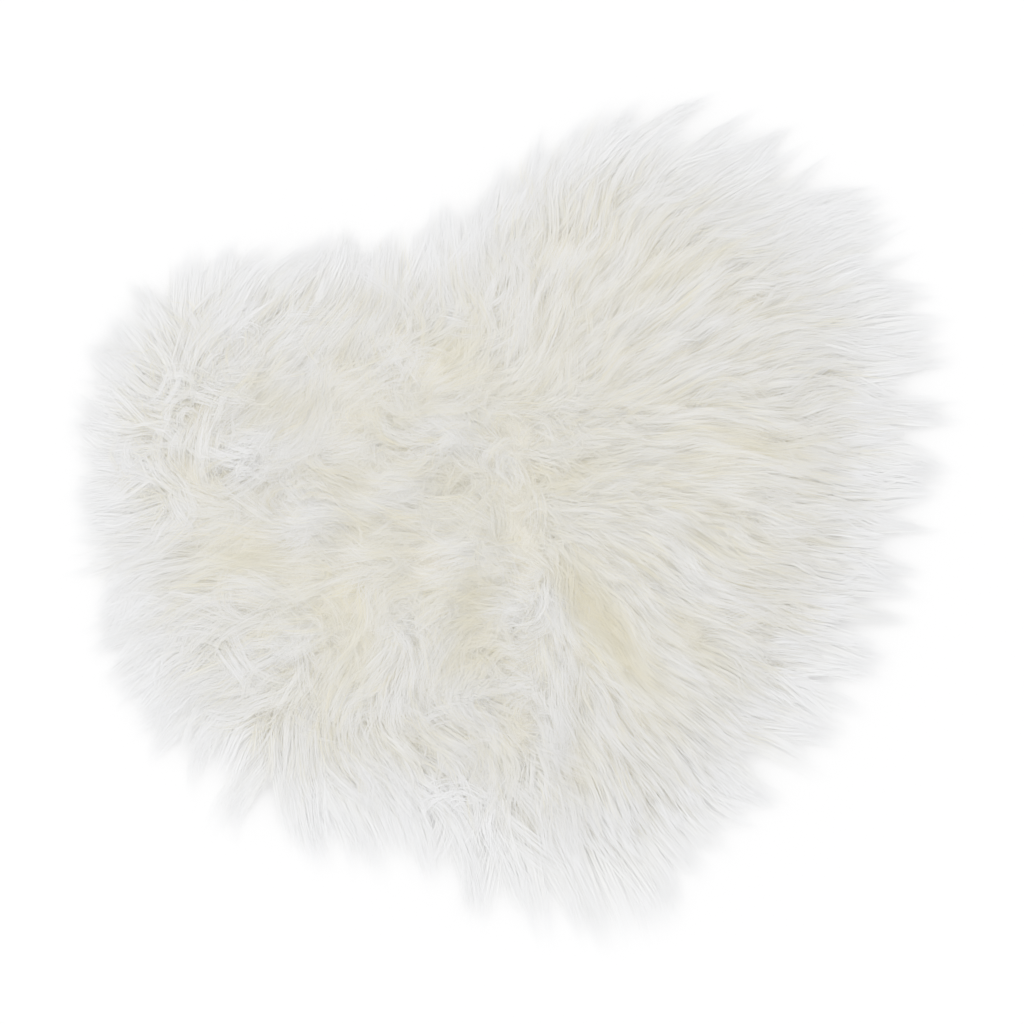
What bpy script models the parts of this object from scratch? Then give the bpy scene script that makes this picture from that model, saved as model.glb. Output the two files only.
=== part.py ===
"""Heart-shaped long-pile rug: one flat, lumpy slab of fur with a ring of locks round its rim.

The heart lies on the floor with its notch towards +Y, its tip towards -Y and its larger lobe
towards +X. Sizes below are in millimetres and are turned to metres where points are made.
"""

import math
import random
from collections import namedtuple

import bmesh
import bpy
from mathutils import Vector
from mathutils.geometry import delaunay_2d_cdt

MM = 0.001

# Driving sizes of the slab. Its top is a lattice of points TOP_PITCH apart inside two rings
# that follow the edge at these shares of its radius; FINE_STEPS is steps for each degree.
RIM_HEIGHT = 15.0
CROWN_HEIGHT = 40.0
DOME_POWER = 4.4
TOP_PITCH = 9.6
RIM_RINGS = (0.955, 0.905)
LATTICE_SHARE = 0.875
FURTHEST_EDGE = 270.0
SAME_POINT = 0.00001
FINE_STEPS = 8

# Driving sizes of the locks: each grows out of one face of the rim, has swept round to its own
# direction by SWEPT_BY of its length, and leans by MEAN_SWEEP of its sweep over that length.
LOCK_COUNT = 124
SHORTEST_LOCK = 0.55
LONGEST_LOCK = 1.12
LOCK_SEED = 11
SWEPT_BY = 0.55
MEAN_SWEEP = 0.7

# One row for each stretch of rim, going round from +X towards +Y. edge is the slab's edge and
# reach the locks' tips, both from the middle; sweep turns the locks away from straight out.
Rim = namedtuple("Rim", "angle edge reach sweep")
RIM = (
    Rim(0, 224, 300, -17),
    Rim(10, 240, 306, -18),
    Rim(20, 243, 314, -20),
    Rim(30, 249, 310, -22),
    Rim(40, 247, 308, -22),
    Rim(50, 242, 298, -19),
    Rim(60, 224, 280, -16),
    Rim(70, 196, 238, -10),
    Rim(80, 170, 222, -6),
    Rim(87, 154, 204, -4),
    Rim(93, 146, 190, -8),
    Rim(99, 158, 212, -20),
    Rim(106, 179, 230, -38),
    Rim(114, 205, 244, -46),
    Rim(122, 233, 268, -40),
    Rim(131, 255, 285, -26),
    Rim(140, 264, 296, -10),
    Rim(150, 258, 291, 6),
    Rim(160, 248, 287, 14),
    Rim(170, 241, 287, 18),
    Rim(180, 238, 288, 24),
    Rim(190, 235, 291, 30),
    Rim(200, 222, 281, 33),
    Rim(210, 205, 272, 34),
    Rim(220, 196, 268, 31),
    Rim(230, 190, 264, 26),
    Rim(240, 188, 256, 18),
    Rim(250, 194, 266, 8),
    Rim(260, 204, 288, -2),
    Rim(268, 214, 299, -8),
    Rim(276, 212, 290, -8),
    Rim(286, 203, 266, -4),
    Rim(297, 195, 265, 4),
    Rim(308, 192, 262, 4),
    Rim(320, 198, 263, 0),
    Rim(330, 203, 266, -6),
    Rim(340, 212, 274, -12),
    Rim(350, 215, 280, -16),
)

# Ridges (rise above 0) and hollows (below 0) that the combed pile makes on the crown. Each is
# a long soft mound about x, y, turned from +X, with its half length, half width and rise.
Fold = namedtuple("Fold", "name x y turn length width rise")
FOLDS = (
    Fold("parting ridge", -20, -105, 72, 72, 14, 8),
    Fold("parting hollow", 26, -88, 106, 58, 12, -12),
    Fold("right ridge", 88, -66, 118, 34, 13, 7),
    Fold("lower right ridge", 108, -118, 112, 30, 14, 6),
    Fold("right hollow", 76, -120, 122, 30, 10, -8),
    Fold("upper right hollow", 92, -56, 165, 20, 8, -6),
    Fold("tip lock", -2, -215, 88, 44, 16, 7),
    Fold("left of tip hollow", -24, -168, 70, 30, 11, -8),
    Fold("right of tip hollow", 30, -196, 104, 30, 11, -6),
    Fold("stubble hollow", -68, -150, 165, 30, 20, -7),
    Fold("whorl hollow", 18, 12, 170, 30, 10, -6),
    Fold("whorl crest", -8, 36, 150, 34, 14, 5),
    Fold("notch valley", -14, 128, 92, 44, 20, -8),
    Fold("right lobe crest", 150, 70, 20, 90, 50, 5),
    Fold("right lobe furrow", 148, 108, 8, 46, 8, -4),
    Fold("outer lobe furrow", 210, 102, 5, 30, 8, -4),
    Fold("low lobe furrow", 168, -16, 150, 46, 9, -5),
    Fold("left lobe crest", -150, 78, 160, 46, 28, 6),
    Fold("left edge pit", -211, 124, 70, 20, 12, -6),
    Fold("left upper pit", -142, 116, 100, 18, 12, -6),
    Fold("left middle pit", -222, 72, 80, 18, 12, -6),
    Fold("left lower pit", -246, 26, 60, 16, 12, -4),
    Fold("left whorl pit", -162, 22, 140, 22, 11, -7),
    Fold("left tuft", -122, 28, 30, 24, 14, 6),
    Fold("lower left pit", -122, -22, 95, 30, 11, -7),
    Fold("middle pit", -40, -56, 80, 26, 10, -7),
    Fold("lower left crest", -110, -96, 60, 44, 20, 5),
    Fold("lower left furrow", -160, -70, 55, 40, 11, -5),
)

# Combed furrows that fan out over the larger lobe, and matted lumps over the smaller one.
FURROW_COUNT = 31
FURROW_RISE = 1.5
FURROW_START = 60.0
FURROW_BEND_PER_MM = 0.004
MIDDLE_BLEND = 15.0
Lump = namedtuple("Lump", "turn length rise")
LUMPS = (
    Lump(24, 62, 1.3),
    Lump(78, 41, 1.2),
    Lump(131, 52, 1.2),
)

# Stages of a lock from its root outwards: share of its length, of the rim face's width and of
# the rim's height.
Stage = namedtuple("Stage", "length width height")
STAGES = (
    Stage(0.34, 0.84, 0.80),
    Stage(0.70, 0.55, 0.48),
    Stage(1.00, 0.10, 0.12),
)


def around(column, angle):
    """The rim table's column at any angle, by a smooth curve through its rows."""
    angle = angle % 360
    count = len(RIM)
    here = max(i for i in range(count) if RIM[i].angle <= angle)
    rows = [RIM[(here + step) % count] for step in (-1, 0, 1, 2)]
    values = [getattr(row, column) for row in rows]
    places = [(row.angle - RIM[here].angle + 180) % 360 - 180 for row in rows]
    share = (angle - RIM[here].angle) / places[2]
    slope_in = (values[2] - values[0]) / (places[2] - places[0]) * places[2]
    slope_out = (values[3] - values[1]) / (places[3] - places[1]) * places[2]
    rest = 1 - share
    return (
        values[1] * (1 + 2 * share) * rest**2
        + values[2] * (3 - 2 * share) * share**2
        + slope_in * share * rest**2
        - slope_out * rest * share**2
    )


def rim_point(angle, share=1.0):
    """Plan point at a share of the slab's edge radius."""
    radius = around("edge", angle) * share
    turn = math.radians(angle)
    return Vector((radius * math.cos(turn), radius * math.sin(turn)))


def fold_rise(x, y):
    """What the ridges and hollows add to the crown's height at a plan point."""
    rise = 0.0
    for fold in FOLDS:
        turn = math.radians(fold.turn)
        along = (x - fold.x) * math.cos(turn) + (y - fold.y) * math.sin(turn)
        across = (y - fold.y) * math.cos(turn) - (x - fold.x) * math.sin(turn)
        rise += fold.rise * math.exp(-((along / fold.length) ** 2) - (across / fold.width) ** 2)
    return rise


def small_rise(x, y):
    """What the combed furrows and the matted lumps add to the crown's height at a plan point."""
    radius = math.hypot(x, y)
    bend = FURROW_BEND_PER_MM * radius
    furrow = FURROW_RISE * math.sin(FURROW_COUNT * (math.atan2(y, x) + bend))
    furrow *= 1 - math.exp(-((radius / FURROW_START) ** 2))
    lump = 0.0
    for row in LUMPS:
        turn = math.radians(row.turn)
        place = x * math.cos(turn) + y * math.sin(turn)
        lump += row.rise * math.sin(2 * math.pi * place / row.length)
    combed = 1 / (1 + math.exp(-x / MIDDLE_BLEND))
    return combed * furrow + (1 - combed) * lump


def crown(x, y):
    """Height of the pile's top above the floor."""
    share = min(math.hypot(x, y) / around("edge", math.degrees(math.atan2(y, x))), 1.0)
    inside = 1 - share**DOME_POWER
    rise = fold_rise(x, y) + small_rise(x, y)
    return RIM_HEIGHT + inside * (CROWN_HEIGHT - RIM_HEIGHT + rise)


def rim_angles():
    """Angles of the rim's points, an equal length of rim apart."""
    fine = [step / FINE_STEPS for step in range(360 * FINE_STEPS)]
    points = [rim_point(angle) for angle in fine]
    sides = [(after - here).length for here, after in zip(points, points[1:] + points[:1])]
    pitch = sum(sides) / LOCK_COUNT
    angles = []
    walked = 0.0
    for angle, side in zip(fine, sides):
        if walked >= pitch * len(angles):
            angles.append(angle)
        walked += side
    return angles


def top_points(angles):
    """Plan points of the slab's top: its edge, two rings inside it, and an even lattice."""
    points = [rim_point(angle) for angle in angles]
    for share in RIM_RINGS:
        points += [rim_point(angle, share) for angle in angles]
    row_pitch = TOP_PITCH * math.sqrt(0.75)
    rows = int(FURTHEST_EDGE / row_pitch)
    for row in range(-rows, rows + 1):
        shift = TOP_PITCH / 2 * (row % 2)
        for step in range(-rows, rows + 1):
            x = step * TOP_PITCH + shift
            y = row * row_pitch
            edge = around("edge", math.degrees(math.atan2(y, x)))
            if math.hypot(x, y) < edge * LATTICE_SHARE:
                points.append(Vector((x, y)))
    return points


def slab_mesh(angles):
    """The closed slab, and its rim faces in order, each a root for one lock."""
    points = top_points(angles)
    edge_loop = list(range(LOCK_COUNT))
    plan, _, faces, *_ = delaunay_2d_cdt(points, [], [edge_loop], 1, SAME_POINT)
    mesh = bmesh.new()
    top = [mesh.verts.new((p.x, p.y, crown(p.x, p.y))) for p in plan]
    foot = [mesh.verts.new((plan[i].x, plan[i].y, 0.0)) for i in edge_loop]
    for face in faces:
        mesh.faces.new([top[i] for i in face])
    mesh.faces.new(list(reversed(foot)))
    roots = []
    for here in edge_loop:
        after = (here + 1) % LOCK_COUNT
        roots.append(mesh.faces.new((foot[here], foot[after], top[after], top[here])))
    return mesh, roots


def blended_turn(start, end, share):
    """An angle on the way from start to end, the short way round."""
    change = (end - start + 180) % 360 - 180
    return start + change * share


def lock_spine(root, direction, outward, length):
    """Plan points of a lock that leaves the rim straight out and has swept round by SWEPT_BY."""
    place = root.copy()
    spine = []
    done = 0.0
    for stage in STAGES:
        share = min(1.0, (done + stage.length) / 2 / SWEPT_BY)
        turn = math.radians(blended_turn(outward, direction, share))
        place = place + Vector((math.cos(turn), math.sin(turn))) * length * (stage.length - done)
        spine.append((place.copy(), turn))
        done = stage.length
    return spine


def grow_locks(mesh, roots):
    """Draws each rim face out into a tapered lock whose underside stays on the floor."""
    rng = random.Random(LOCK_SEED)
    for face in roots:
        foot_a, foot_b, top_b, top_a = [vertex.co.copy() for vertex in face.verts]
        middle = ((foot_a + foot_b) / 2).to_2d()
        side = (foot_b - foot_a).to_2d()
        outward = math.degrees(math.atan2(middle.y, middle.x))
        direction = outward + around("sweep", outward)
        room = around("reach", outward) - middle.length
        lean = math.radians(around("sweep", outward) * MEAN_SWEEP)
        length = room / math.cos(lean) * rng.uniform(SHORTEST_LOCK, LONGEST_LOCK)
        for stage, (place, turn) in zip(STAGES, lock_spine(middle, direction, outward, length)):
            sideways = Vector((-math.sin(turn), math.cos(turn)))
            across = sideways * side.dot(sideways) * stage.width / 2
            height = RIM_HEIGHT * stage.height
            grown = bmesh.ops.extrude_discrete_faces(mesh, faces=[face])
            face = grown["faces"][0]
            ends = (place - across, place + across)
            corners = (ends[0], ends[1], ends[1], ends[0])
            heights = (0.0, 0.0, height, height)
            order = sorted_corners(face, foot_a, foot_b, top_b, top_a)
            for vertex, corner, level in zip(order, corners, heights):
                vertex.co = (corner.x, corner.y, level)
            foot_a, foot_b, top_b, top_a = [vertex.co.copy() for vertex in order]


def sorted_corners(face, *places):
    """The face's vertices in the order of these places, where they still lie."""
    return [min(face.verts, key=lambda vertex: (vertex.co - place).length) for place in places]


def fur_material():
    """Off-white acrylic fur."""
    material = bpy.data.materials.new("white fur")
    material.use_nodes = True
    shader = material.node_tree.nodes["Principled BSDF"]
    shader.inputs["Base Color"].default_value = (0.80, 0.785, 0.74, 1)
    shader.inputs["Roughness"].default_value = 0.85
    shader.inputs["Metallic"].default_value = 0.0
    return material


def heart_rug(collection):
    """The whole rug, its box centred over the origin and its underside on the floor."""
    mesh, roots = slab_mesh(rim_angles())
    grow_locks(mesh, roots)
    low = [min(vertex.co[axis] for vertex in mesh.verts) for axis in range(2)]
    high = [max(vertex.co[axis] for vertex in mesh.verts) for axis in range(2)]
    shift = Vector((-(low[0] + high[0]) / 2, -(low[1] + high[1]) / 2, 0))
    bmesh.ops.translate(mesh, verts=mesh.verts, vec=shift)
    bmesh.ops.scale(mesh, verts=mesh.verts, vec=(MM, MM, MM))
    bmesh.ops.triangulate(mesh, faces=mesh.faces)
    bmesh.ops.recalc_face_normals(mesh, faces=mesh.faces)
    data = bpy.data.meshes.new("heart_rug")
    mesh.to_mesh(data)
    mesh.free()
    data.shade_smooth()
    data.materials.append(fur_material())
    rug = bpy.data.objects.new("heart_rug", data)
    collection.objects.link(rug)
    return rug


for leftover in list(bpy.data.objects):
    bpy.data.objects.remove(leftover)
rug_parts = bpy.data.collections.new("heart rug")
bpy.context.scene.collection.children.link(rug_parts)
heart_rug(rug_parts)
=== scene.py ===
import math
from collections import namedtuple

import bpy
import numpy as np
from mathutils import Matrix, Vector
from mathutils.bvhtree import BVHTree


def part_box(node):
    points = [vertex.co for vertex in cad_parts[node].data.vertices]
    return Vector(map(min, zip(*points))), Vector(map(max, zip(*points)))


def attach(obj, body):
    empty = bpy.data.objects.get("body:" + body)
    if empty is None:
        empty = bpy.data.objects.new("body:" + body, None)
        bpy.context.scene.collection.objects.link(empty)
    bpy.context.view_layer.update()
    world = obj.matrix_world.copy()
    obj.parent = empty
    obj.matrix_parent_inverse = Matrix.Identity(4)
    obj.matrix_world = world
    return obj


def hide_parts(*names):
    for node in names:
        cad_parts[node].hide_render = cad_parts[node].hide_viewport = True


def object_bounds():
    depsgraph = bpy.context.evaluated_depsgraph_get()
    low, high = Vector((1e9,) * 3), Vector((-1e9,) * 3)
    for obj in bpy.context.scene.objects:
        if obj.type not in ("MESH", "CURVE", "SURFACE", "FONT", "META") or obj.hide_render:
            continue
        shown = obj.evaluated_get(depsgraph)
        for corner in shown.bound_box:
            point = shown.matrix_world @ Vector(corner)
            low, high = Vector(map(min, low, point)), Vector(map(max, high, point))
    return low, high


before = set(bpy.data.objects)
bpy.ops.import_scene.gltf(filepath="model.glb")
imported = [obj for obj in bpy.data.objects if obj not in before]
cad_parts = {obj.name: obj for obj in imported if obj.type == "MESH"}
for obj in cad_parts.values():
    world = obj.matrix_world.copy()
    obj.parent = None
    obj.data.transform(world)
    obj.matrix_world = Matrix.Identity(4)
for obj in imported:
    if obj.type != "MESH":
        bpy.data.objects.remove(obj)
cad_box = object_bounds()

# --- Ground cloth ---------------------------------------------------------------------------
# The real piece is one heart cut from a warp-knitted polyester ground, about 2 mm thick with
# its backing coat. It is cut a little inside the reach of the fur, so its edge never shows
# from above, and it lies flat on the floor.

MM = 0.001
rug_low, rug_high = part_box("heart_rug")
# Where the middle that the rim is measured from lies, from the middle of the rug's box.
MIDDLE_X, MIDDLE_Y = -10.9, 23.2
middle = Vector(((rug_low.x + rug_high.x) / 2 + MIDDLE_X * MM,
                 (rug_low.y + rug_high.y) / 2 + MIDDLE_Y * MM, rug_low.z))

# One row for each stretch of rim, going round from +X towards +Y, in millimetres: where the
# cloth ends, how far the longest locks reach, how much of that is sheer wisps past the dense
# fur, and how much those cling together in points, from 0 to 1.
Rim = namedtuple("Rim", "angle edge reach wisp cling")
RIM = (
    Rim(0, 224, 298, 38, 0.95), Rim(10, 240, 318, 30, 0.95), Rim(20, 243, 330, 30, 0.95),
    Rim(30, 249, 333, 32, 0.95), Rim(40, 247, 332, 30, 0.95), Rim(50, 242, 328, 22, 0.95),
    Rim(60, 224, 305, 14, 0.90), Rim(70, 196, 260, 18, 0.85), Rim(80, 170, 232, 20, 0.85),
    Rim(87, 154, 214, 20, 0.85), Rim(93, 146, 200, 16, 0.85), Rim(99, 158, 226, 26, 0.85),
    Rim(106, 179, 252, 30, 0.80), Rim(114, 205, 262, 18, 0.50), Rim(122, 233, 284, 14, 0.20),
    Rim(131, 255, 304, 14, 0.10), Rim(140, 264, 308, 14, 0.10), Rim(150, 258, 300, 14, 0.10),
    Rim(160, 248, 288, 14, 0.10), Rim(170, 241, 286, 16, 0.10), Rim(180, 238, 290, 16, 0.20),
    Rim(190, 235, 285, 18, 0.40), Rim(200, 222, 283, 26, 0.70), Rim(210, 205, 278, 32, 0.70),
    Rim(220, 196, 262, 46, 0.60), Rim(230, 190, 246, 46, 0.40), Rim(240, 188, 256, 44, 0.30),
    Rim(250, 194, 278, 46, 0.30), Rim(260, 204, 290, 68, 0.30), Rim(268, 214, 290, 78, 0.30),
    Rim(276, 212, 256, 50, 0.30), Rim(286, 203, 247, 36, 0.40), Rim(297, 195, 255, 40, 0.50),
    Rim(308, 192, 257, 42, 0.60), Rim(320, 198, 260, 38, 0.70), Rim(330, 203, 263, 38, 0.80),
    Rim(340, 212, 273, 36, 0.85), Rim(350, 215, 284, 40, 0.90),
)


def around(column, x, y):
    """The rim table's column in the direction of each plan point, in millimetres."""
    angles = [row.angle for row in RIM]
    values = [getattr(row, column) for row in RIM]
    turned = np.degrees(np.arctan2(y, x)) % 360
    return np.interp(turned, angles + [360], values + values[:1])


def cloth_outline(share, steps):
    """Points round the rim at a share of the dense fur's radius, in metres from the middle."""
    turns = np.linspace(0, 2 * math.pi, steps, endpoint=False)
    radius = around("edge", np.cos(turns), np.sin(turns)) * share * MM
    return [(r * math.cos(t), r * math.sin(t)) for r, t in zip(radius, turns)]


CLOTH_SHARE = 0.93
CLOTH_THICK = 2.0
CLOTH_STEPS = 240

bpy.ops.object.select_all(action="DESELECT")
bpy.ops.mesh.primitive_circle_add(vertices=CLOTH_STEPS, radius=1, fill_type="NGON")
ground_cloth = bpy.context.object
ground_cloth.name = "ground_cloth"
for vertex, (x, y) in zip(ground_cloth.data.vertices, cloth_outline(CLOTH_SHARE, CLOTH_STEPS)):
    vertex.co = (middle.x + x, middle.y + y, middle.z)
bpy.ops.object.mode_set(mode="EDIT")
bpy.ops.mesh.select_all(action="SELECT")
bpy.ops.mesh.extrude_region_move(TRANSFORM_OT_translate={"value": (0, 0, CLOTH_THICK * MM)})
bpy.ops.mesh.select_all(action="SELECT")
bpy.ops.mesh.normals_make_consistent(inside=False)
bpy.ops.object.mode_set(mode="OBJECT")


def linear(hex_colour):
    """An sRGB hex colour as the linear values that a shader takes."""
    parts = [int(hex_colour[i:i + 2], 16) / 255 for i in (1, 3, 5)]
    return [p / 12.92 if p <= 0.04045 else ((p + 0.055) / 1.055) ** 2.4 for p in parts] + [1]


def add_node(material, kind, settings=None, inputs=None, links=None):
    """Adds one node, sets its properties and sockets, and links its sockets to others."""
    node = material.node_tree.nodes.new(kind)
    for name, value in (settings or {}).items():
        setattr(node, name, value)
    for name, value in (inputs or {}).items():
        node.inputs[name].default_value = value
    for name, source in (links or {}).items():
        material.node_tree.links.new(source, node.inputs[name])
    return node


# Warp-knitted polyester with a rolled-on acrylic backing coat: a dull off-white with the
# courses of the knit showing through as fine ribs 1.4 mm apart.
COURSE_PITCH = 1.4
knit = bpy.data.materials.new("warp-knitted ground cloth")
knit.use_nodes = True
knit_shader = knit.node_tree.nodes["Principled BSDF"]
place = add_node(knit, "ShaderNodeTexCoord")
courses = add_node(knit, "ShaderNodeTexWave", {"bands_direction": "Y"},
                   {"Scale": 2 * math.pi / (20 * COURSE_PITCH * MM), "Distortion": 1.5,
                    "Detail": 2.0, "Detail Scale": 3.0},
                   {"Vector": place.outputs["Object"]})
tint = add_node(knit, "ShaderNodeMix", {"data_type": "RGBA"})
tint.inputs[6].default_value = linear("#d9d4c6")
tint.inputs[7].default_value = linear("#ece8dc")
knit.node_tree.links.new(courses.outputs["Fac"], tint.inputs["Factor"])
knit.node_tree.links.new(tint.outputs[2], knit_shader.inputs["Base Color"])
ribs = add_node(knit, "ShaderNodeBump", None, {"Strength": 0.4, "Distance": 0.3 * MM},
                {"Height": courses.outputs["Fac"]})
knit.node_tree.links.new(ribs.outputs["Normal"], knit_shader.inputs["Normal"])
knit_shader.inputs["Roughness"].default_value = 0.85
ground_cloth.data.materials.append(knit)

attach(ground_cloth, "root")
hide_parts("heart_rug")

# --- Underfur -------------------------------------------------------------------------------
# Between the roots of the long pile stands a dense short crimped fibre, which fills the pile
# and holds it up. It shows only as ivory depth in the partings, so it is one lumpy body.

# Heights are read on a square grid of plan points, GRID apart, out to GRID_REACH, in mm.
GRID = 4.0
GRID_REACH = 340.0

solid_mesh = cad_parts["heart_rug"].data
solid_tree = BVHTree.FromPolygons([v.co for v in solid_mesh.vertices],
                                  [p.vertices for p in solid_mesh.polygons])


def measured_tops():
    """Heights of the solid's top on a square grid of plan points, in millimetres."""
    steps = int(2 * GRID_REACH / GRID) + 1
    tops = np.zeros((steps, steps))
    for row in range(steps):
        for column in range(steps):
            x = middle.x + (column * GRID - GRID_REACH) * MM
            y = middle.y + (row * GRID - GRID_REACH) * MM
            hit = solid_tree.ray_cast(Vector((x, y, 1)), Vector((0, 0, -1)))[0]
            if hit is not None:
                tops[row, column] = (hit.z - middle.z) / MM
    return tops


tops = measured_tops()


def sampled(grid, x, y):
    """A grid's value between its points, by distance."""
    limit = grid.shape[0] - 2
    column = np.clip((x + GRID_REACH) / GRID, 0, limit)
    row = np.clip((y + GRID_REACH) / GRID, 0, limit)
    left, low = column.astype(int), row.astype(int)
    across, up = column - left, row - low
    return (grid[low, left] * (1 - across) * (1 - up) + grid[low, left + 1] * across * (1 - up)
            + grid[low + 1, left] * (1 - across) * up + grid[low + 1, left + 1] * across * up)


# The pile's height at its rim and at the wisps' tips, how its slope to the floor bends, and how
# far inside the rim the slope takes over.
RIM_TOP = 14.0
WISP_TOP = 2.0
SLOPE_BEND = 1.2
SLOPE_START = 8


def pile_top(x, y):
    """Height of the pile's top: the solid's inside its rim, and a slope to the floor outside."""
    edge = around("edge", x, y)
    reach = around("reach", x, y)
    out = np.hypot(x, y) - edge
    slope = RIM_TOP * np.clip(1 - out / (reach - edge), 0, 1) ** SLOPE_BEND + WISP_TOP
    inside = np.maximum(sampled(tops, x, y), RIM_TOP)
    blend = np.clip((out + SLOPE_START) / SLOPE_START, 0, 1)
    return inside * (1 - blend) + slope * blend


# The underfur's height and reach as shares of the pile's, how steeply it falls at its edge, and
# the rise of its crimp.
UNDERFUR_SHARE = 0.54
UNDERFUR_EDGE = 0.97
EDGE_FALL = 8
CRIMP_RISE = 0.5
ABOVE_CLOTH = 0.3
RING_COUNT = 30
RING_STEPS = 128

bpy.ops.object.select_all(action="DESELECT")
bpy.ops.mesh.primitive_uv_sphere_add(segments=RING_STEPS, ring_count=RING_COUNT, radius=1)
underfur = bpy.context.object
underfur.name = "underfur"
unit = np.array([v.co for v in underfur.data.vertices])
share = np.arccos(np.clip(np.abs(unit[:, 2]), 0, 1)) / (math.pi / 2)
turn = np.arctan2(unit[:, 1], unit[:, 0])
edge = around("edge", np.cos(turn), np.sin(turn)) * UNDERFUR_EDGE
plan_x, plan_y = share * edge * np.cos(turn), share * edge * np.sin(turn)
fall = 1 - share ** EDGE_FALL
crest = pile_top(plan_x, plan_y) * UNDERFUR_SHARE * fall
crimp = (np.sin(plan_x * 0.9 + 2 * np.sin(plan_y * 0.37))
         + np.sin(plan_y * 0.8 + plan_x * 0.3)) * CRIMP_RISE
level = np.where(unit[:, 2] > 0, crest + crimp * fall, 0) + CLOTH_THICK + ABOVE_CLOTH
for vertex, x, y, z in zip(underfur.data.vertices, plan_x, plan_y, level):
    vertex.co = (middle.x + x * MM, middle.y + y * MM, middle.z + z * MM)
bpy.ops.object.shade_smooth()

# Crimped acrylic underfur: matt and ivory, with fine tangled shadow between its fibres.
crimped = bpy.data.materials.new("crimped acrylic underfur")
crimped.use_nodes = True
crimped_shader = crimped.node_tree.nodes["Principled BSDF"]
place = add_node(crimped, "ShaderNodeTexCoord")
tangle = add_node(crimped, "ShaderNodeTexNoise", None,
                  {"Scale": 1 / (2.2 * MM), "Detail": 5.0, "Roughness": 0.6, "Distortion": 1.2},
                  {"Vector": place.outputs["Object"]})
shade = add_node(crimped, "ShaderNodeValToRGB", None, None, {"Fac": tangle.outputs["Fac"]})
shade.color_ramp.elements[0].position = 0.35
shade.color_ramp.elements[1].position = 0.65
shade.color_ramp.elements[0].color = linear("#e9e2cd")
shade.color_ramp.elements[1].color = linear("#f2eddf")
crimped.node_tree.links.new(shade.outputs["Color"], crimped_shader.inputs["Base Color"])
fuzz = add_node(crimped, "ShaderNodeBump", None, {"Strength": 0.8, "Distance": 1.5 * MM},
                {"Height": tangle.outputs["Fac"]})
crimped.node_tree.links.new(fuzz.outputs["Normal"], crimped_shader.inputs["Normal"])
crimped_shader.inputs["Roughness"].default_value = 0.95
underfur.data.materials.append(crimped)

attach(underfur, "root")
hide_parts("heart_rug")

# --- Pile -----------------------------------------------------------------------------------
# Acrylic fibres about 60 mm long are knitted into the ground cloth and brushed out. They cling
# together in small locks and those in broad silky ones, and lie over in the way they were last
# stroked: the rug fans out from a crown, parts along the middle, and is matted on one lobe.

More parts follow.
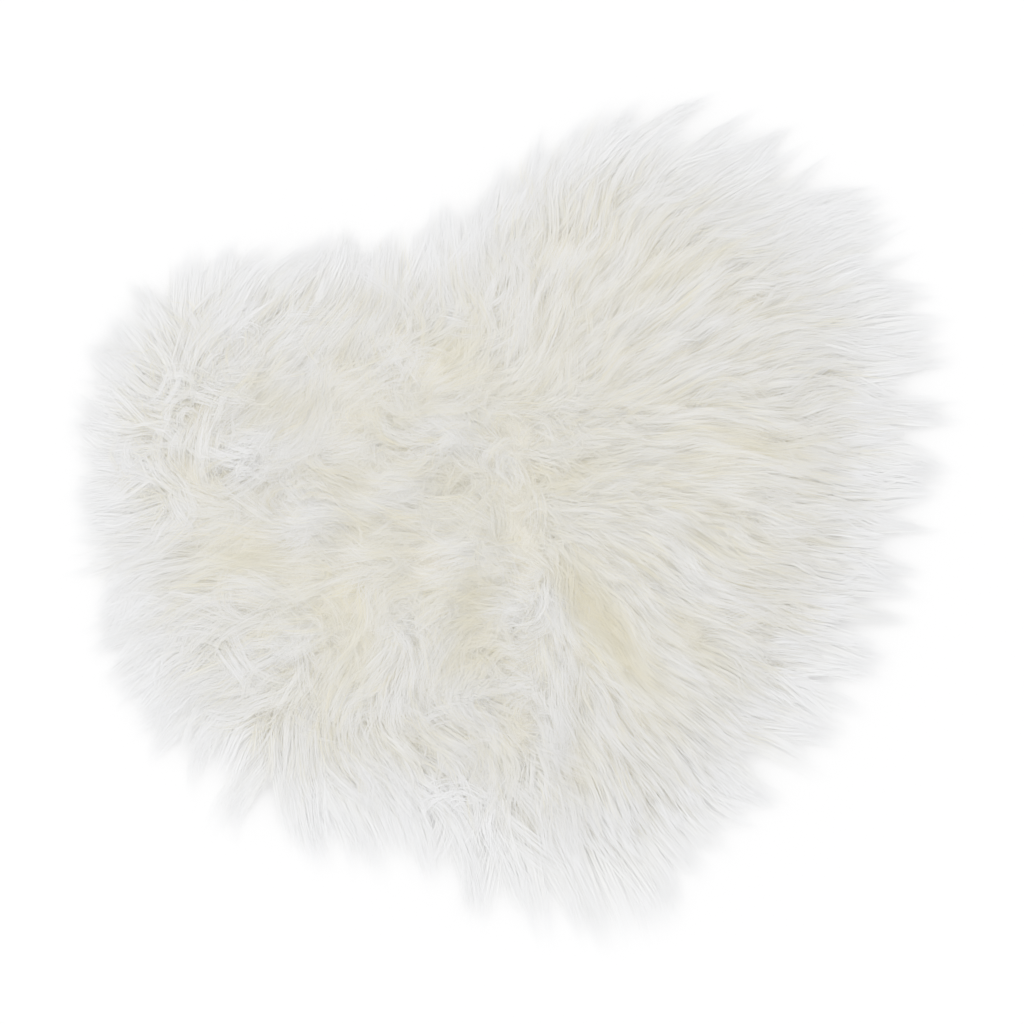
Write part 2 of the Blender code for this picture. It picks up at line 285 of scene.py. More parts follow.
# One row for each stroke of the comb, in millimetres from the middle: way is where the fibres
# point, anticlockwise from +X in degrees, reach how far round the stroke tells, and fluff how
# matted the fibres are, from 0 to 1.
Comb = namedtuple("Comb", "where x y way reach fluff")
COMBING = (
    Comb("notch flank of the right lobe", 25, 170, 60, 20, 0.15),
    Comb("notch flank, lower", 40, 135, 65, 20, 0.10),
    Comb("above the crown", 30, 90, 45, 20, 0.15),
    Comb("right lobe, top left", 80, 175, 60, 20, 0.10),
    Comb("right lobe, top rim, left", 130, 210, 40, 20, 0.15),
    Comb("right lobe, top rim", 175, 210, 30, 20, 0.15),
    Comb("right lobe, upper left", 100, 135, 50, 20, 0.10),
    Comb("right lobe, upper middle", 125, 100, 35, 25, 0.10),
    Comb("right lobe, upper right", 175, 125, 20, 25, 0.10),
    Comb("right lobe, outer upper right", 225, 110, 10, 25, 0.10),
    Comb("right rim, top corner", 235, 170, 15, 25, 0.20),
    Comb("right rim, shoulder", 275, 100, 355, 25, 0.20),
    Comb("right lobe, inner", 80, 75, 20, 20, 0.10),
    Comb("right lobe, middle", 140, 65, 10, 25, 0.05),
    Comb("right lobe, outer middle", 195, 55, 0, 25, 0.05),
    Comb("right rim, upper", 270, 45, 350, 25, 0.20),
    Comb("right lobe, lower inner", 45, 55, 5, 20, 0.10),
    Comb("right lobe, lower middle", 100, 35, 0, 20, 0.05),
    Comb("right lobe, lower outer", 165, 20, 345, 25, 0.05),
    Comb("right rim, middle", 235, -5, 340, 25, 0.15),
    Comb("right of the crown, upper", 40, 30, 345, 15, 0.10),
    Comb("crossing band, inner", 85, 10, 335, 15, 0.05),
    Comb("crossing band, middle", 125, -5, 350, 15, 0.05),
    Comb("crossing band, outer", 160, -20, 325, 20, 0.05),
    Comb("crossing band, rim", 215, -50, 330, 25, 0.10),
    Comb("right of the crown, lower", 35, 0, 335, 15, 0.10),
    Comb("second band, inner", 75, -25, 325, 15, 0.05),
    Comb("second band, middle", 110, -40, 340, 15, 0.05),
    Comb("second band, outer", 160, -65, 325, 20, 0.05),
    Comb("right rim, below the middle", 215, -100, 335, 25, 0.15),
    Comb("ridge start", 20, -25, 310, 10, 0.05),
    Comb("hollow, upper side", 45, -45, 310, 15, 0.05),
    Comb("second ridge, top", 75, -50, 295, 15, 0.05),
    Comb("right of the second ridge", 110, -70, 320, 15, 0.05),
    Comb("outer right, lower", 155, -100, 325, 25, 0.10),
    Comb("right rim, lower", 205, -140, 330, 25, 0.20),
    Comb("hollow, left side", 25, -75, 285, 10, 0.00),
    Comb("hollow, right side", 50, -80, 300, 10, 0.00),
    Comb("below the second ridge", 85, -95, 315, 15, 0.05),
    Comb("outer lower right", 125, -130, 315, 20, 0.10),
    Comb("lower right rim, upper", 165, -165, 325, 25, 0.20),
    Comb("bundle, top", 5, -65, 255, 10, 0.00),
    Comb("bundle, middle", -15, -100, 250, 10, 0.00),
    Comb("bundle, foot", -30, -145, 255, 10, 0.00),
    Comb("bundle, right strand", 5, -110, 265, 10, 0.00),
    Comb("hollow, lower left side", 30, -105, 280, 10, 0.00),
    Comb("hollow, lower right side", 50, -125, 300, 10, 0.00),
    Comb("right of the hollow", 80, -145, 310, 15, 0.05),
    Comb("lower right rim, middle", 120, -190, 315, 25, 0.15),
    Comb("below the bundle, right", 5, -145, 270, 10, 0.00),
    Comb("lower right, inner", 30, -165, 295, 15, 0.00),
    Comb("lower right, outer", 70, -195, 305, 20, 0.10),
    Comb("tip side, inner", -5, -190, 280, 15, 0.00),
    Comb("tip side, middle", 25, -210, 290, 15, 0.00),
    Comb("tip side, rim", 65, -235, 310, 20, 0.15),
    Comb("tip, left strand", -40, -210, 275, 15, 0.05),
    Comb("tip", -5, -245, 275, 20, 0.05),
    Comb("below the bundle, left", -40, -180, 260, 10, 0.10),
    Comb("tip, left rim", -70, -220, 270, 20, 0.10),
    Comb("bottom rim, middle", -100, -195, 260, 20, 0.15),
    Comb("bottom rim, left", -140, -175, 265, 20, 0.15),
    Comb("notch, middle", -10, 170, 65, 15, 0.25),
    Comb("below the notch", -15, 140, 40, 15, 0.25),
    Comb("left of the notch", -40, 185, 80, 15, 0.20),
    Comb("left lobe, inner top", -55, 160, 55, 20, 0.15),
    Comb("left lobe, inner middle", -75, 125, 45, 15, 0.15),
    Comb("left lobe, top", -90, 185, 20, 25, 0.10),
    Comb("left lobe, upper middle", -115, 150, 20, 20, 0.15),
    Comb("left lobe, outer top", -135, 185, 35, 15, 0.10),
    Comb("left lobe, outer middle", -155, 150, 25, 15, 0.15),
    Comb("left lobe, outer lower", -180, 100, 30, 15, 0.20),
    Comb("left lobe, middle", -145, 120, 25, 15, 0.25),
    Comb("left lobe, lower inner", -115, 95, 30, 15, 0.35),
    Comb("left of the crown, top", -10, 95, 355, 15, 0.25),
    Comb("left of the crown, upper", -45, 95, 5, 20, 0.25),
    Comb("left rim, top corner", -145, 190, 75, 20, 0.10),
    Comb("left rim, above the shoulder", -180, 175, 105, 20, 0.10),
    Comb("left rim, shoulder", -205, 150, 130, 20, 0.10),
    Comb("left rim, upper", -220, 115, 150, 20, 0.10),
    Comb("left rim, middle", -225, 80, 175, 20, 0.10),
    Comb("left rim, lower", -230, 50, 185, 20, 0.15),
    Comb("left of the crown, middle", -40, 60, 165, 15, 0.20),
    Comb("left of the crown, outer", -85, 70, 170, 20, 0.35),
    Comb("crown", -5, 50, 130, 10, 0.30),
    Comb("crown, lower", -20, 10, 220, 10, 0.30),
    Comb("left side, middle", -195, 45, 175, 20, 0.25),
    Comb("left side, inner", -185, 5, 160, 20, 0.30),
    Comb("left side, lower rim", -265, 15, 205, 20, 0.20),
    Comb("left side, lower", -230, -10, 175, 20, 0.20),
    Comb("lower left, inner", -175, -30, 185, 20, 0.25),
    Comb("lower left, middle", -215, -50, 195, 20, 0.15),
    Comb("lower left rim, upper", -260, -35, 220, 20, 0.20),
    Comb("lower left rim", -250, -80, 235, 20, 0.20),
    Comb("chevron, upper left", -150, -65, 225, 15, 0.15),
    Comb("chevron, upper middle", -110, -70, 230, 15, 0.15),
    Comb("chevron, upper right", -75, -65, 245, 15, 0.15),
    Comb("chevron, turn", -145, -90, 245, 15, 0.10),
    Comb("chevron, lower left", -185, -105, 260, 15, 0.15),
    Comb("chevron, lower middle", -145, -125, 285, 15, 0.10),
    Comb("chevron, lower right", -105, -125, 295, 15, 0.15),
    Comb("bottom, left of the middle", -180, -145, 265, 20, 0.15),
    Comb("bottom, under the chevron", -120, -155, 285, 15, 0.20),
    Comb("left of the parting, top", -25, -40, 170, 10, 0.20),
    Comb("left of the parting, middle", -35, -75, 160, 10, 0.15),
    Comb("left of the parting, lower", -50, -110, 150, 10, 0.25),
    Comb("under the left of the parting", -60, -40, 175, 15, 0.35),
    Comb("stubble patch", -70, -150, 250, 15, 0.90),
    Comb("stubble patch, left", -80, -125, 300, 10, 0.60),
)

PILE_SEED = 20
pile_rng = np.random.default_rng(PILE_SEED)


def smoothed(grid, size):
    """A grid with what is smaller than this size in millimetres smoothed away."""
    pitch = np.fft.fftfreq(grid.shape[0], GRID)
    fine = pitch[:, None] ** 2 + pitch[None, :] ** 2
    return np.fft.ifft2(np.fft.fft2(grid) * np.exp(-2 * fine * (math.pi * size / 2.5) ** 2)).real


def smooth_noise(size, rng):
    """Noise on the grid of plan points, with a spread of 1 and lumps of this size in mm."""
    noise = smoothed(rng.normal(0, 1, tops.shape), size)
    return noise / noise.std()


# How little a stroke still tells far away, where no other is near.
FAR_STROKE = 1e-7


def combed(x, y):
    """Where the fibres point at plan points, in radians, how surely, and how matted they are."""
    east, north, fluff, total = (np.zeros_like(x) for _ in range(4))
    for row in COMBING:
        far = ((x - row.x) ** 2 + (y - row.y) ** 2) / (2 * row.reach ** 2)
        weight = np.exp(-far) / row.reach + FAR_STROKE / (1 + far)
        east += weight * math.cos(math.radians(row.way))
        north += weight * math.sin(math.radians(row.way))
        fluff += weight * row.fluff
        total += weight
    return np.arctan2(north, east), np.hypot(east, north) / total, fluff / total


# Slow drifts of the fibres' way and height over the rug, with lumps of these sizes in mm.
DRIFT_SIZE = 30
LIFT_SIZE = 16
drift = smooth_noise(DRIFT_SIZE, pile_rng)
lift = smooth_noise(LIFT_SIZE, pile_rng)


# How far a root lies from its place in the lattice, as a share of the lattice's pitch.
ROOT_JITTER = 0.28


def lock_roots(pitch, share, rng):
    """Plan points of the locks' roots: an even lattice over the cloth, each moved a little."""
    steps = int(GRID_REACH / pitch)
    column, row = np.meshgrid(np.arange(-steps, steps + 1), np.arange(-steps, steps + 1))
    x = ((column + 0.5 * (row % 2)) * pitch).ravel()
    y = (row * pitch * math.sqrt(0.75)).ravel()
    x = x + rng.normal(0, pitch * ROOT_JITTER, x.shape)
    y = y + rng.normal(0, pitch * ROOT_JITTER, y.shape)
    kept = np.hypot(x, y) < around("edge", x, y) * share
    return x[kept], y[kept]


# A lock's length in mm, and at the rim its least and greatest, which takes in how much of it
# lies level. The rim starts at this share of the edge and is whole RIM_WIDTH further out.
FIBRE_LENGTH = 64.0
SHORTEST = 25
LONGEST = 115
MEAN_LAY = 0.85
RIM_START = 0.72
RIM_WIDTH = 0.25
# The least that a lock must point outwards, as a cosine, to be drawn out to the outline.
LEAST_OUT = 0.3
# Paths are followed in this many steps. A lock stands up at its root and lies over further out.
PATH_STEPS = 8
PATH_SHARES = np.linspace(0, 1, PATH_STEPS + 1)
ROOT_LAY = 0.5
LAY_GAIN = 0.8
FULL_LAY = 0.98
DRIFT_TURN = 0.10


def leading_paths(x, y, ease, tousled, short, rng):
    """Plan points and ways of broad locks from root to tip, how matted they are, and how much
    they belong to the rim. Short is how much of the rim's wisps they leave out."""
    count = len(x)
    start, sure, fluff = combed(x, y)
    rim = np.clip((np.hypot(x, y) / around("edge", x, y) - RIM_START) / RIM_WIDTH, 0, 1)
    # Near the rim a lock is as long as it takes to reach the rug's outline.
    way_out = np.cos(start - np.arctan2(y, x))
    outline = around("reach", x, y) - around("wisp", x, y) * short
    to_outline = outline * rng.uniform(0.98, 1.03, count) - np.hypot(x, y)
    rim_length = np.clip(to_outline / np.clip(way_out, 0.6, 1) / MEAN_LAY, SHORTEST, LONGEST)
    length = FIBRE_LENGTH * rng.uniform(0.85, 1.15, count) * ease
    outward = rim * np.clip((way_out - LEAST_OUT) / 0.4, 0, 1)
    length = length * (1 - outward) + rim_length * outward
    loose = fluff + 0.8 * (1 - sure) + tousled * (0.2 + 3 * fluff)
    stray = rng.normal(0, 1, count) * (0.05 + 0.6 * loose)
    bend = rng.normal(0, 1, count) * (0.06 + 0.7 * loose)
    phase = rng.uniform(0, 2 * math.pi, count)
    xs, ys, ways = [x], [y], []
    for share in PATH_SHARES[:-1] + 0.5 / PATH_STEPS:
        lay = np.clip(ROOT_LAY + LAY_GAIN * share, 0, FULL_LAY)
        way = combed(xs[-1], ys[-1])[0] + sampled(drift, xs[-1], ys[-1]) * DRIFT_TURN
        turned = way + stray + bend * np.sin(3.2 * share + phase)
        xs.append(xs[-1] + length / PATH_STEPS * lay * np.cos(turned))
        ys.append(ys[-1] + length / PATH_STEPS * lay * np.sin(turned))
        ways.append(turned)
    ways.append(ways[-1])
    return (np.stack(xs, 1), np.stack(ys, 1), np.stack(ways, 1)), fluff, rim


def follow(paths, which, side, ahead, gather, stray):
    """Paths that start to the side and ahead of their leading path and close in on it."""
    x, y, way = (column[which] for column in paths)
    near = side[:, None] * (1 - gather[:, None] * PATH_SHARES ** 1.3)
    near = near + stray[:, None] * PATH_SHARES ** 1.5
    on = ahead[:, None]
    return (x - near * np.sin(way) + on * np.cos(way),
            y + near * np.cos(way) + on * np.sin(way),
            way)


def within(radius, count, rng):
    """Random places in a disc, as distances to the side and ahead."""
    out = radius * np.sqrt(rng.uniform(0, 1, count))
    turn = rng.uniform(0, 2 * math.pi, count)
    return out * np.cos(turn), out * np.sin(turn)


# Broad locks stand BROAD_PITCH apart. Where the combing spreads them thin, as at the crown, more
# of them stand up between the others. The MORE sizes are theirs: their pitch as a share of the
# others', how readily one stands in a thin place, and how much shorter and tousled it is.
BROAD_PITCH = 14.0
BROAD_RADIUS = 12.0
CROWDED = 0.95
CROWD_SIZE = 24
MORE_PITCH = 0.6
MORE_CHANCE = 1.15
MORE_EASE = 0.65
MORE_TOUSLED = 2.0
MORE_SHORT = 1.1
root_x, root_y = lock_roots(BROAD_PITCH, 0.99, pile_rng)
dense_end = pile_rng.uniform(0.8, 1.3, len(root_x))
broad, fluff, rim = leading_paths(root_x, root_y, 1.0, 0.0, dense_end, pile_rng)
edges = np.arange(tops.shape[0] + 1) * GRID - GRID_REACH - GRID / 2
amount = np.histogram2d(broad[1][:, 2:].ravel(), broad[0][:, 2:].ravel(), (edges, edges))[0]
amount = smoothed(amount, CROWD_SIZE)
amount /= np.median(amount[amount > 0.4 * amount.max()])
more_x, more_y = lock_roots(BROAD_PITCH * MORE_PITCH, 0.9, pile_rng)
lack = np.clip(CROWDED - sampled(amount, more_x, more_y), 0, 0.7)
thin = pile_rng.uniform(0, 1, len(more_x)) < lack * MORE_CHANCE
more, more_fluff, more_rim = leading_paths(more_x[thin], more_y[thin], MORE_EASE,
                                           lack[thin] * MORE_TOUSLED, MORE_SHORT, pile_rng)

# Round the rim a pair of locks in every POINT_PITCH runs together in a point past the others,
# rooted at POINT_ROOT of the edge or up to POINT_DEPTH further in.
POINT_PITCH = 19.0
POINT_ROOT = 0.97
POINT_DEPTH = 8
ARC_STEPS = 720
turns = np.linspace(0, 2 * math.pi, ARC_STEPS, endpoint=False)
arc = np.cumsum(around("edge", np.cos(turns), np.sin(turns)) * math.pi / (ARC_STEPS / 2))
point_turn = np.repeat(np.interp(np.arange(0, arc[-1], POINT_PITCH), arc, turns), 2)
point_turn = point_turn + pile_rng.normal(0, 0.012, len(point_turn))
point_out = (around("edge", np.cos(point_turn), np.sin(point_turn)) * POINT_ROOT
             - pile_rng.uniform(0, POINT_DEPTH, len(point_turn)))
ends, end_fluff, end_rim = leading_paths(point_out * np.cos(point_turn),
                                         point_out * np.sin(point_turn), 1.0, 0.0, 0.0, pile_rng)
broad = tuple(np.concatenate(columns) for columns in zip(broad, more, ends))
fluff = np.concatenate([fluff, more_fluff, end_fluff])
rim = np.concatenate([rim, more_rim, end_rim])
pointed = np.arange(len(rim)) >= len(rim) - len(end_rim)

# Each broad lock holds small locks, and each of those its fibres. A lock draws together by up
# to MOST_CLOSING towards its tip, one of those in thin places less, and a few fibres stray.
SMALL_EACH = 8
SMALL_RADIUS = 3.2
FIBRES_EACH = 7
MOST_CLOSING = 0.3
MORE_CLOSING = 0.3
LONER_SHARE = 0.04
small_of = np.repeat(np.arange(len(fluff)), SMALL_EACH)
broad_side, broad_ahead = within(BROAD_RADIUS, len(small_of), pile_rng)
closing = pile_rng.uniform(0.0, MOST_CLOSING, len(fluff))
closing[len(root_x):] *= MORE_CLOSING
point_cling = around("cling", broad[0][:, -1], broad[1][:, -1])
closing = np.where(pointed, point_cling, closing)[small_of]
pointed = pointed[small_of]
fluff, rim = fluff[small_of], rim[small_of]
level = pile_rng.normal(1, 0.03, len(broad[0]))[small_of]
level = level + pile_rng.normal(0, 0.02, len(small_of))
small = follow(broad, small_of, broad_side, broad_ahead, closing,
               pile_rng.normal(0, 1, len(small_of)) * (0.8 + 6.0 * fluff))

fibre_of = np.repeat(np.arange(len(small_of)), FIBRES_EACH)
fibre_count = len(fibre_of)
side, ahead = within(SMALL_RADIUS, fibre_count, pile_rng)
loner = pile_rng.uniform(0, 1, fibre_count) < LONER_SHARE
frizz = 0.5 + 3.0 * fluff[fibre_of] + 5.0 * loner
cling = (pile_rng.uniform(0.05, 0.4, len(small_of)) + 0.5 * closing * pointed)[fibre_of]
strands = follow(small, fibre_of, side, ahead, cling, pile_rng.normal(0, 1, fibre_count) * frizz)

# A fibre's width in mm, how much of that it gains at the rim, and where along it its points lie.
FIBRE_WIDTH = 0.41
RIM_WIDENING = 0.9
FIBRE_SHARES = np.array([0.0, 0.28, 0.54, 0.78, 1.0])
# A fibre ends where its own length does, so its points are read along the path at its share.
own_length = pile_rng.uniform(0.72, 1.0, fibre_count)
outer = rim[fibre_of]
own_length = own_length * (1 - outer) + pile_rng.uniform(0.9, 1.0, fibre_count) * outer
# One that would pass the rug's outline is cut about where it crosses it.
limit = around("reach", strands[0][:, -1], strands[1][:, -1])
limit = limit * pile_rng.uniform(0.97, 1.04, fibre_count)
crossed = np.hypot(strands[0], strands[1]) > limit[:, None]
crossing = crossed.argmax(1) - pile_rng.uniform(0, 1, fibre_count)
own_length = np.where(crossed.any(1), np.minimum(own_length, crossing / PATH_STEPS), own_length)
along = np.clip(FIBRE_SHARES * own_length[:, None] * PATH_STEPS, 0, PATH_STEPS - 1e-6)
low = along.astype(int)
part = along - low
rows = np.arange(fibre_count)[:, None]
x, y = (line[rows, low] * (1 - part) + line[rows, low + 1] * part for line in strands[:2])

# Fibres lie deeper at the sides of their lock and by chance, by these many mm at the root, and
# they follow the solid's own ridges and hollows, except near the rim.
BROAD_SUNK = 1.8
SMALL_SUNK = 0.8
CHANCE_SUNK = 2.2
TIP_RISEN = 0.45
RELIEF_SIZE = 60
RELIEF_FULL = 6
RELIEF_HIGH = 0.12
# How much the solid's relief moves the tone: painted shade in its hollows and painted light on
# its ridges.
PAINTED_RELIEF_SHADING = 0.4
LIFT_HIGH = 0.04
HIGHEST = 1.12
LEAST_RISE = 1.0
FLOOR_CLEAR = 0.8
depth = pile_rng.uniform(0, 1, fibre_count) ** 1.3
broad_out = (broad_side[fibre_of] / BROAD_RADIUS) ** 2
small_out = (side / SMALL_RADIUS) ** 2
sunk = ((BROAD_SUNK * broad_out + SMALL_SUNK * small_out + CHANCE_SUNK * depth)[:, None]
        * (1 - TIP_RISEN * FIBRE_SHARES))
grid_x, grid_y = np.meshgrid(edges[:-1] + GRID / 2, edges[:-1] + GRID / 2)
inland = np.clip((0.9 - np.hypot(grid_x, grid_y) / around("edge", grid_x, grid_y)) / 0.15, 0, 1)
relief = np.clip((tops - smoothed(tops, RELIEF_SIZE)) / RELIEF_FULL, -1.5, 1) * inland
high = (level[fibre_of][:, None] + LIFT_HIGH * sampled(lift, x, y)
        + RELIEF_HIGH * sampled(relief, x, y))
high = np.minimum(high, HIGHEST)
rise = 1 - (1 - FIBRE_SHARES) ** 2.0
z = CLOTH_THICK + np.maximum(pile_top(x, y) * high - CLOTH_THICK - sunk, LEAST_RISE) * rise
z = np.maximum(z, FLOOR_CLEAR + depth[:, None])
points = np.stack([x, y, z], 2)
roll = (broad_side[fibre_of] / BROAD_RADIUS * 0.6 + side / SMALL_RADIUS * 0.25
        + pile_rng.normal(0, 0.12, fibre_count))[:, None]
width = FIBRE_WIDTH * pile_rng.uniform(0.6, 1.3, fibre_count) * (1 + RIM_WIDENING * outer)

# Tone runs from ivory to white where the light falls at INNER_TONE, and on to the cool clear
# white of the rim's single fibres. The ivory is painted shade on fibres that lie down in the
# pile or at the sides of their lock and in the solid's hollows, whose ridges get painted light;
# a few small locks picked at random are ivory as well.
STREAK_SHARE = 0.08
STREAK_TONE = 0.6
MEAN_TONE = 0.75
INNER_TONE = 0.8
RIM_TONE = 0.96
streak = (pile_rng.uniform(0, 1, len(small_of)) < STREAK_SHARE)[fibre_of]
# Painted shade and light: fibres at the sides of their broad lock and deep in the pile get a
# lower, more ivory tone, the relief's hollows lower it and its ridges raise it.
tone = (MEAN_TONE - 0.2 * broad_out - 0.2 * depth
        + PAINTED_RELIEF_SHADING * sampled(relief, x[:, 2], y[:, 2])
        - STREAK_TONE * streak + pile_rng.normal(0, 0.06, fibre_count))
tone = np.clip(tone, 0, INNER_TONE) * (1 - outer) + RIM_TONE * outer


def unit_length(vectors):
    """Vectors of length 1."""
    return vectors / np.maximum(np.linalg.norm(vectors, axis=-1, keepdims=True), 1e-9)


# How sharply a fibre tapers, how much of its width it loses before its point, and how far its
# shading turns from its own face to straight up.
TAPER_BEND = 1.7
TAPER_LOSS = 0.7
FACE_UP = 0.6


def fibre_mesh(name, points, shares, roll, tone, width):
    """Joins fibres into one mesh: each is a flat tapered strip that ends in a point."""
    count, rows = points.shape[:2]
    along = unit_length(np.gradient(points, axis=1))
    across = unit_length(np.cross(along, np.array([0.0, 0.0, 1.0])))
    face = np.cross(across, along)
    flat = across * np.cos(roll)[..., None] + face * np.sin(roll)[..., None]
    taper = shares ** TAPER_BEND
    half = (width / 2)[:, None] * (1 - TAPER_LOSS * taper)[None, :]
    left, right = points - flat * half[..., None], points + flat * half[..., None]
    sides = np.stack([left, right], 2)[:, :-1].reshape(count, -1, 3)
    places = np.concatenate([sides, points[:, -1:]], 1)
    each = places.shape[1]
    places = places.reshape(-1, 3) * MM + np.array(middle)
    strip = [i for row in range(rows - 2)
             for i in (2 * row, 2 * row + 1, 2 * row + 3, 2 * row + 2)]
    strip += [each - 3, each - 2, each - 1]
    corners = (np.arange(count)[:, None] * each + np.array(strip)[None, :]).ravel()
    sizes = np.tile([4] * (rows - 2) + [3], count)
    starts = np.concatenate([[0], np.cumsum(sizes)[:-1]])
    mesh = bpy.data.meshes.new(name)
    mesh.vertices.add(len(places))
    mesh.vertices.foreach_set("co", places.astype(np.float32).ravel())
    mesh.loops.add(len(corners))
    mesh.loops.foreach_set("vertex_index", corners.astype(np.int32))
    mesh.polygons.add(len(sizes))
    mesh.polygons.foreach_set("loop_start", starts.astype(np.int32))
    mesh.polygons.foreach_set("loop_total", sizes.astype(np.int32))
    # The map's u is the fibre's tone and its v the way from root to tip.
    edge_u = np.concatenate([np.tile([0, 1], rows - 1), [0.5]])
    edge_v = np.concatenate([np.repeat(shares[:-1], 2), shares[-1:]])
    own = np.array(strip)
    u = tone[:, None] * 0.98 + 0.01 * edge_u[own][None, :]
    v = np.broadcast_to(edge_v[own][None, :], u.shape)
    layer = mesh.uv_layers.new(name="OFBake")
    layer.data.foreach_set("uv", np.stack([u, v], 2).astype(np.float32).ravel())
    mesh.update(calc_edges=True)
    mesh.shade_smooth()
    # Silky fibres lit from all round shade as the lock they lie in, so they face mostly up.
    facing = np.cross(along, flat)
    facing = unit_length(np.where(facing[..., 2:] < 0, -facing, facing))
    facing = facing * (1 - FACE_UP) + (0, 0, FACE_UP)
    facing = np.concatenate([np.repeat(facing[:, :-1], 2, axis=1), facing[:, -1:]], 1)
    mesh.normals_split_custom_set_from_vertices(unit_length(facing).reshape(-1, 3))
    piece = bpy.data.objects.new(name, mesh)
    bpy.context.scene.collection.objects.link(piece)
    return piece


# Brushed acrylic fibre: nearly white and silky where it has been combed straight, with ivory
# depth at the root where light has passed through many fibres. Some light goes through it.
SEE_THROUGH = 0.57
SEE_THROUGH_RIM = 0.3
acrylic = bpy.data.materials.new("brushed acrylic fibre")
acrylic.use_nodes = True
acrylic_shader = acrylic.node_tree.nodes["Principled BSDF"]
fibre_map = add_node(acrylic, "ShaderNodeUVMap", {"uv_map": "OFBake"})
parts = add_node(acrylic, "ShaderNodeSeparateXYZ", None, None,
                 {"Vector": fibre_map.outputs["UV"]})
length_tint = add_node(acrylic, "ShaderNodeValToRGB", None, None, {"Fac": parts.outputs["Y"]})
ramp = length_tint.color_ramp
ramp.elements[0].position = 0.05
ramp.elements[1].position = 0.8
ramp.elements[0].color = linear("#f8efd6")
ramp.elements[1].color = linear("#fcfcfb")
ramp.elements.new(0.4).color = linear("#fbfaf4")
# The tone ramp turns low tone into ivory, the painted shade of the deep pile and its hollows,
# and high tone into white.
tone_tint = add_node(acrylic, "ShaderNodeValToRGB", None, None, {"Fac": parts.outputs["X"]})
tone_tint.color_ramp.elements[0].color = linear("#fdf5d6")
tone_tint.color_ramp.elements[1].color = linear("#fbfcff")
tone_tint.color_ramp.elements.new(0.45).color = linear("#fcf8e6")
tone_tint.color_ramp.elements.new(0.8).color = linear("#ffffff")
both = add_node(acrylic, "ShaderNodeMix", {"data_type": "RGBA", "blend_type": "MULTIPLY"})
both.inputs["Factor"].default_value = 1.0
acrylic.node_tree.links.new(length_tint.outputs["Color"], both.inputs[6])
acrylic.node_tree.links.new(tone_tint.outputs["Color"], both.inputs[7])
acrylic.node_tree.links.new(both.outputs[2], acrylic_shader.inputs["Base Color"])
acrylic_shader.inputs["Roughness"].default_value = 0.6
acrylic_shader.inputs["Specular IOR Level"].default_value = 0.3
glow = add_node(acrylic, "ShaderNodeBsdfTranslucent", None, None, {"Color": both.outputs[2]})
clear = add_node(acrylic, "ShaderNodeMapRange", None,
                 {"From Min": INNER_TONE, "From Max": 0.93, "To Min": SEE_THROUGH,
                  "To Max": SEE_THROUGH_RIM},
                 {"Value": parts.outputs["X"]})
through = add_node(acrylic, "ShaderNodeMixShader", None, None, {"Fac": clear.outputs["Result"]})
acrylic.node_tree.links.new(acrylic_shader.outputs["BSDF"], through.inputs[1])
acrylic.node_tree.links.new(glow.outputs["BSDF"], through.inputs[2])
acrylic.node_tree.links.new(through.outputs["Shader"],
                            acrylic.node_tree.nodes["Material Output"].inputs["Surface"])

# The pile is five pieces with as many fibres each, by where their roots lie round the middle.
PATCHES = ("pile_lower_left", "pile_tip", "pile_right_lobe", "pile_notch", "pile_left_lobe")
order = np.argsort(np.arctan2(points[:, 0, 1], points[:, 0, 0]), kind="stable")
for name, members in zip(PATCHES, np.array_split(order, len(PATCHES))):
    patch = fibre_mesh(name, points[members], FIBRE_SHARES, roll[members], tone[members],
                       width[members])
    patch.data.materials.append(acrylic)
    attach(patch, "root")
    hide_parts("heart_rug")

# --- Short fill -----------------------------------------------------------------------------
# Short acrylic fibres are knitted in with the long ones. They stand between the locks in every
# direction, more upright where the combing parts the pile, and fill the gaps.

SHORT_PITCH = 2.8
SHORT_LENGTH = 28.0
SHORT_LAY = 0.85
SHORT_CURL = 0.6
SHORT_SHARES = np.array([0.0, 0.35, 0.68, 1.0])
short_x, short_y = lock_roots(SHORT_PITCH, 0.97, pile_rng)
short_count = len(short_x)
short_way, _, short_fluff = combed(short_x, short_y)
short_way = short_way + pile_rng.normal(0, 1, short_count) * (0.3 + 2 * short_fluff)
curl = pile_rng.normal(0, SHORT_CURL, (short_count, 1))
long = SHORT_LENGTH * pile_rng.uniform(0.7, 1.2, (short_count, 1))
turned = short_way[:, None] + curl * SHORT_SHARES
out = long * SHORT_LAY * SHORT_SHARES
x, y = short_x[:, None] + out * np.cos(turned), short_y[:, None] + out * np.sin(turned)
parted = np.clip(CROWDED - sampled(amount, short_x, short_y), 0, 0.6)[:, None]
share_up = (pile_rng.uniform(0.5, 0.8, (short_count, 1)) + 0.4 * parted
            + 0.1 * sampled(relief, x, y))
rise = 1 - (1 - SHORT_SHARES) ** 2
z = CLOTH_THICK + np.maximum(pile_top(x, y) * share_up - CLOTH_THICK, LEAST_RISE) * rise
# Their tone is low, for the ivory painted shade down in the pile, and varies at random from
# fibre to fibre.
short_fill = fibre_mesh("short_fill", np.stack([x, y, z], 2), SHORT_SHARES,
                        pile_rng.normal(0, 0.5, (short_count, 1)),
                        pile_rng.uniform(0.25, 0.7, short_count),
                        pile_rng.uniform(0.4, 0.8, short_count))
short_fill.data.materials.append(acrylic)
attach(short_fill, "root")
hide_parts("heart_rug")

# The cloth lies flat with all of its fur, and its flat size is that of its own outline.
edge_points = cloth_outline(CLOTH_SHARE, CLOTH_STEPS)

# --- Floor, light and camera ----------------------------------------------------------------
# A plain pale floor under a wide soft studio dome, which is brightest over the rug's upper
# left. The camera looks down on the rug, turned so that the heart leans to the right.

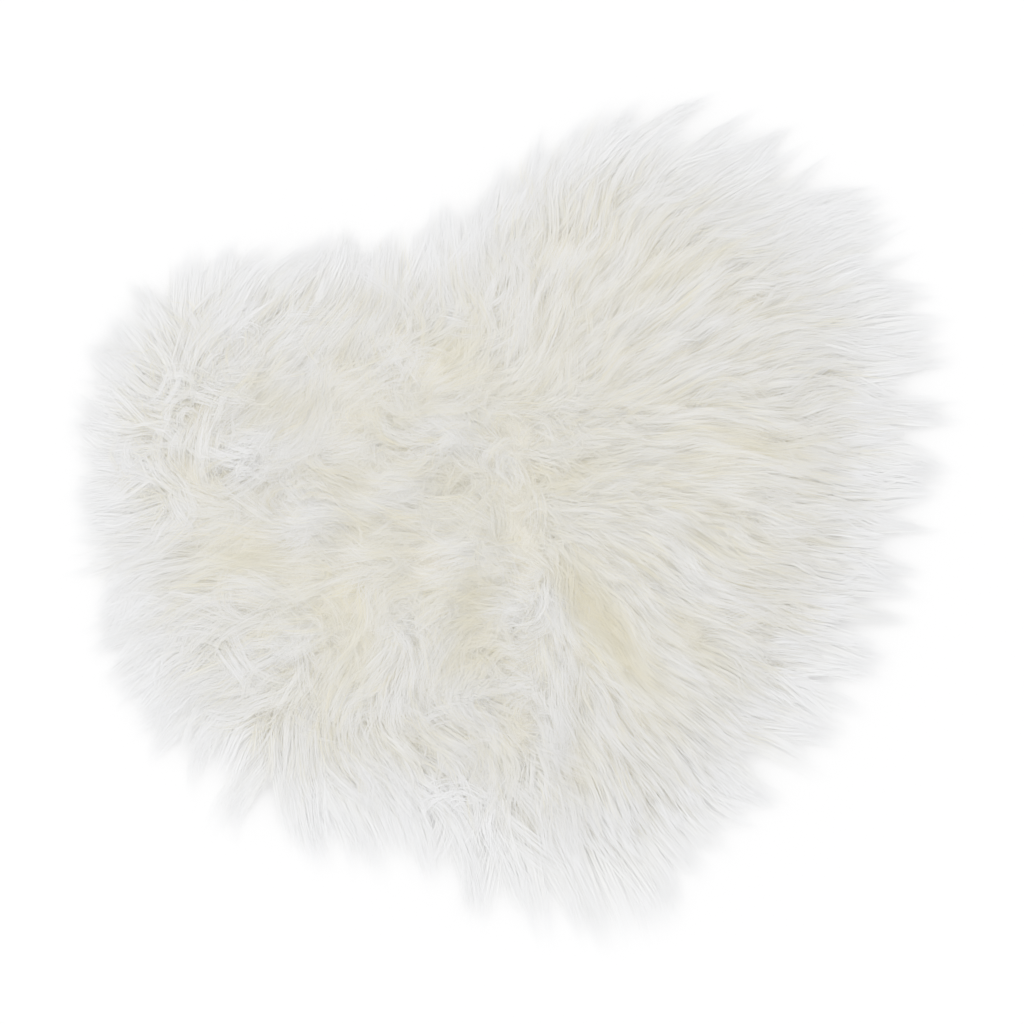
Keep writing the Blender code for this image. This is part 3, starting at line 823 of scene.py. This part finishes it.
FLOOR_SIZE = 12
FLOOR_GAP = 0.2
bpy.ops.object.select_all(action="DESELECT")
bpy.ops.mesh.primitive_plane_add(size=FLOOR_SIZE,
                                 location=(0, 0, cad_box[0][2] - FLOOR_GAP * MM))
floor = bpy.context.object
floor.name = "floor"
pale = bpy.data.materials.new("pale studio floor")
pale.use_nodes = True
pale.node_tree.nodes["Principled BSDF"].inputs["Base Color"].default_value = linear("#fcfcfc")
pale.node_tree.nodes["Principled BSDF"].inputs["Roughness"].default_value = 0.9
floor.data.materials.append(pale)

# The dome's brightest way, and its strength on the far side and on that side.
KEY_WAY = Vector((-1.0, 1.1, 2.0)).normalized()
DOME_LOW = 0.68
DOME_HIGH = 1.33
dome = bpy.data.worlds.new("studio dome")
dome.use_nodes = True
dome_light = dome.node_tree.nodes["Background"]
sky_way = add_node(dome, "ShaderNodeTexCoord")
towards_key = add_node(dome, "ShaderNodeVectorMath", {"operation": "DOT_PRODUCT"}, {1: KEY_WAY},
                       {0: sky_way.outputs["Generated"]})
glow_by_way = add_node(dome, "ShaderNodeMapRange", None,
                       {"To Min": DOME_LOW, "To Max": DOME_HIGH},
                       {"Value": towards_key.outputs["Value"]})
dome.node_tree.links.new(glow_by_way.outputs["Result"], dome_light.inputs["Strength"])
dome_light.inputs["Color"].default_value = (1, 1, 1, 1)
dome.cycles.sampling_method = "NONE"
bpy.context.scene.world = dome

LEAN = math.radians(-19.3)
ELEVATION = math.radians(78)
DISTANCE = 1.82
LENS = 100.0
aim = middle + Vector((-4.0, 1.0, 15.0)) * MM
camera_data = bpy.data.cameras.new("camera")
camera_data.lens = LENS
camera = bpy.data.objects.new("camera", camera_data)
bpy.context.scene.collection.objects.link(camera)
back = Vector((math.sin(LEAN) * math.cos(ELEVATION), -math.cos(LEAN) * math.cos(ELEVATION),
               math.sin(ELEVATION)))
camera.location = aim + back * DISTANCE
camera.rotation_euler = back.to_track_quat("Z", "Y").to_euler()
bpy.context.scene.camera = camera

# Enough bounces for light to pass from fibre to fibre.
BOUNCES = 4
bpy.context.scene.cycles.max_bounces = BOUNCES
bpy.context.scene.cycles.diffuse_bounces = BOUNCES
bpy.context.scene.cycles.transmission_bounces = BOUNCES
bpy.context.scene.view_settings.view_transform = "Standard"
bpy.context.scene.view_settings.gamma = 2.4
